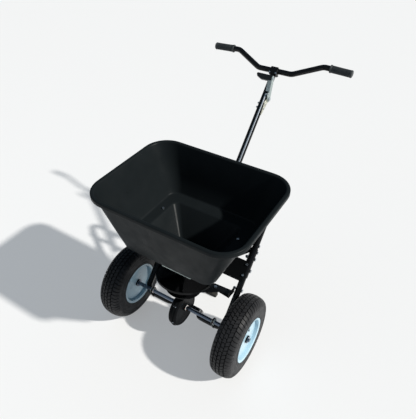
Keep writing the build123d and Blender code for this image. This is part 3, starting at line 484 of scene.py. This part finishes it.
def hopper():
    """The tub's skin, up its outside from the outlet and back down its inside."""
    mouth, hem = grown(RIM, -RIM_WIDTH), grown(RIM, -RIM_HEM)
    foot_out, top_out = grown(FUNNEL_FOOT, WALL), grown(FUNNEL_TOP, WALL)
    # each fold and how far its softening reaches
    folds = [
        (tilted_ring(FLANGE, FLOOR_W), 1),
        (tilted_ring(FLANGE, FLOOR_W + FLANGE_T), 1.5),
        (tilted_ring(between(foot_out, top_out, FLANGE_JOIN), FLOOR_W + FLANGE_T), 3),
        (level_ring(top_out, LEDGE_Z - WALL), 7),
        (wall_ring(LEDGE_Z - WALL), 3),
        (level_ring(SKIRT, SKIRT_Z), 1.2),
        (level_ring(grown(SKIRT, WALL), SKIRT_Z), 1.2),
        (level_ring(grown(BEND, WALL), BEND_Z), 34),
        (level_ring(grown(mouth, WALL), RIM_Z - RIM_TOP), 6),
        (level_ring(hem, RIM_Z - RIM_TOP), 1.5),
        (level_ring(hem, RIM_Z - RIM_DEPTH), 0.8),
        (level_ring(RIM, RIM_Z - RIM_DEPTH), 1.0),
        (level_ring(RIM, RIM_Z), 5.0),
        (level_ring(mouth, RIM_Z), 6.0),
        (level_ring(BEND, BEND_Z), 26),
        (wall_ring(LEDGE_Z), 7),
        (level_ring(FUNNEL_TOP, LEDGE_Z), 6),
        (tilted_ring(FUNNEL_FOOT, FLOOR_W + WALL), 6),
        (tilted_ring(grown(FUNNEL_FOOT, -WALL), FLOOR_W + WALL), 1),
    ]
    rings = softened([ring for ring, _ in folds], [radius for _, radius in folds])
    return piece("hopper_skin", rings, "hopper_poly", "frame", "hopper", HOPPER_SHARP)


def cutter(name, side, place):
    """Square bar that is taken out of a piece, along the spinner shaft."""
    solid = bmesh.new()
    bmesh.ops.create_cube(solid, size=1.0)
    for vertex in solid.verts:
        x, v, w = vertex.co.x * side, vertex.co.y * side, vertex.co.z * CUT_DEPTH
        vertex.co = place + (Vector((x, 0, 0)) + BACK_SHAFT * v + UP_SHAFT * w) * MM
    mesh = bpy.data.meshes.new(name)
    solid.to_mesh(mesh)
    solid.free()
    return shown(bpy.data.objects.new(name, mesh))


def cut(target, tools):
    """Takes the tools out of the target for good."""
    for tool in tools:
        modifier = target.modifiers.new("cut", "BOOLEAN")
        modifier.operation = "DIFFERENCE"
        modifier.solver = "EXACT"
        modifier.object = tool
    bpy.context.view_layer.update()
    shape = target.evaluated_get(bpy.context.evaluated_depsgraph_get())
    mesh = bpy.data.meshes.new_from_object(shape)
    target.modifiers.clear()
    target.data = mesh
    mesh.set_sharp_from_angle(angle=math.radians(HOPPER_SHARP))
    for tool in tools:
        bpy.data.objects.remove(tool)


holes = [cutter("port", PORT_SIDE, on_spin(side * PORT_X, PORT_V, FLOOR_W)) for side in (-1, 1)]
cut(hopper(), holes + [cutter("shaft_hole", SHAFT_HOLE, on_spin(0, 0, FLOOR_W))])


# ---- grips ------------------------------------------------------------------

# The handlebar: where its plane crosses the post, the plane's tilt, and its drooping ends
BAR_S = 1034.7
BAR_N = 2.5
BAR_TILT = math.radians(42)
BAR_SHOULDER = 188
BAR_TIP = 300
BAR_RISE = 59
BAR_DROOP = 5
GRIP_START = 214
GRIP_END = 304
GRIP_SHARP = 38
RIBS = 20
RIB_STEPS = 6
# The first steps of each rib's pitch lie in the groove beside it
GROOVE_STEPS = 2


def bar_end(side, x):
    """Place on the middle of one straight end of the handlebar, x out from the post."""
    rise = BAR_RISE - BAR_DROOP * (x - BAR_SHOULDER) / (BAR_TIP - BAR_SHOULDER)
    spot = Vector((side * x, rise * math.cos(BAR_TILT), rise * math.sin(BAR_TILT)))
    return on_frame(0, BAR_S, BAR_N) + spot * MM


def grip(side_name, side):
    """Ribbed grip with a collar at its mouth and a rounded closed end."""
    start, end = bar_end(side, GRIP_START), bar_end(side, GRIP_END)
    axis = (end - start).normalized()
    length = (end - start).length / MM
    across = axis.orthogonal().normalized()
    other = axis.cross(across)
    # along the grip, radius, and how deep the grooves between its ribs are
    shape = [(0, 11.2, 0), (0, 14.6, 0), (0.9, 15.8, 0), (5.2, 15.8, 0), (6.6, 14.4, 0),
             (8.0, 14.0, 0), (9.5, 14.4, 1.1), (40, 14.1, 1.2), (length - 11, 14.2, 1.2),
             (length - 9, 14.1, 0), (length - 7.5, 14.7, 0), (length - 3.5, 14.8, 0),
             (length - 1.2, 13.4, 0), (length, 10.0, 0), (length, 3.0, 0)]
    rings = []
    for along, radius, groove in shape:
        ring = []
        for k in range(RIBS * RIB_STEPS):
            turn = math.tau * k / (RIBS * RIB_STEPS)
            r = radius - groove if k % RIB_STEPS < GROOVE_STEPS else radius
            out = across * math.cos(turn) + other * math.sin(turn)
            ring.append(start + (axis * along + out * r) * MM)
        rings.append(ring)
    piece("grip_" + side_name, rings, "grip_rubber", "frame", "grips", GRIP_SHARP)


grip("left", -1)
grip("right", 1)


# ---- camera, lights and floor -----------------------------------------------

WHITE = (1, 1, 1, 1)
FLOOR_HALF = 12


def aimed(name, data, place, target):
    """An object that looks from a place towards a target."""
    made = shown(bpy.data.objects.new(name, data))
    made.location = place
    made.rotation_euler = (Vector(target) - Vector(place)).to_track_quat("-Z", "Y").to_euler()
    return made


lens = bpy.data.cameras.new("camera")
lens.sensor_width = 36
lens.lens = 36.92
lens.shift_x = 0.0026
lens.shift_y = -0.0112
lens.clip_start = 0.05
camera = aimed("camera", lens, (0.6728, -1.19187, 1.5953), (0.0568, -0.20447, 0.6514))
bpy.context.scene.camera = camera

sun = bpy.data.lights.new("key", "SUN")
sun.energy = 4.6
sun.angle = math.radians(2)
sun.color = (1.0, 0.97, 0.92)
aimed("key", sun, (1.15, 0.22, 1.0), (0, 0, 0))

fill = bpy.data.lights.new("fill", "AREA")
fill.shape = "SQUARE"
fill.size = 2.2
fill.energy = 5
fill.color = (0.90, 0.95, 1.0)
aimed("fill", fill, (-1.6, -2.2, 1.9), (0, 0, 0.4))

world = bpy.data.worlds.new("sky")
world.use_nodes = True
sky = world.node_tree.nodes["Background"].inputs
sky["Color"].default_value = (0.58, 0.79, 1.0, 1)
sky["Strength"].default_value = 0.22
bpy.context.scene.world = world

floor_look = Finish("floor_paint", (0.56, 0.56, 0.56), 0.95, Emission_Color=WHITE,
                    Emission_Strength=0.30, Specular_IOR_Level=0.1)
floor_look.bump(floor_look.noise(30, 3), 0.1, 0.2)
floor_mesh = bpy.data.meshes.new("floor")
square = [(-FLOOR_HALF, -FLOOR_HALF, 0), (FLOOR_HALF, -FLOOR_HALF, 0), (FLOOR_HALF, FLOOR_HALF, 0),
          (-FLOOR_HALF, FLOOR_HALF, 0)]
floor_mesh.from_pydata(square, [], [(0, 1, 2, 3)])
floor_mesh.materials.append(floor_look.material)
floor = shown(bpy.data.objects.new("floor", floor_mesh))
bpy.context.scene.view_settings.view_transform = "Standard"
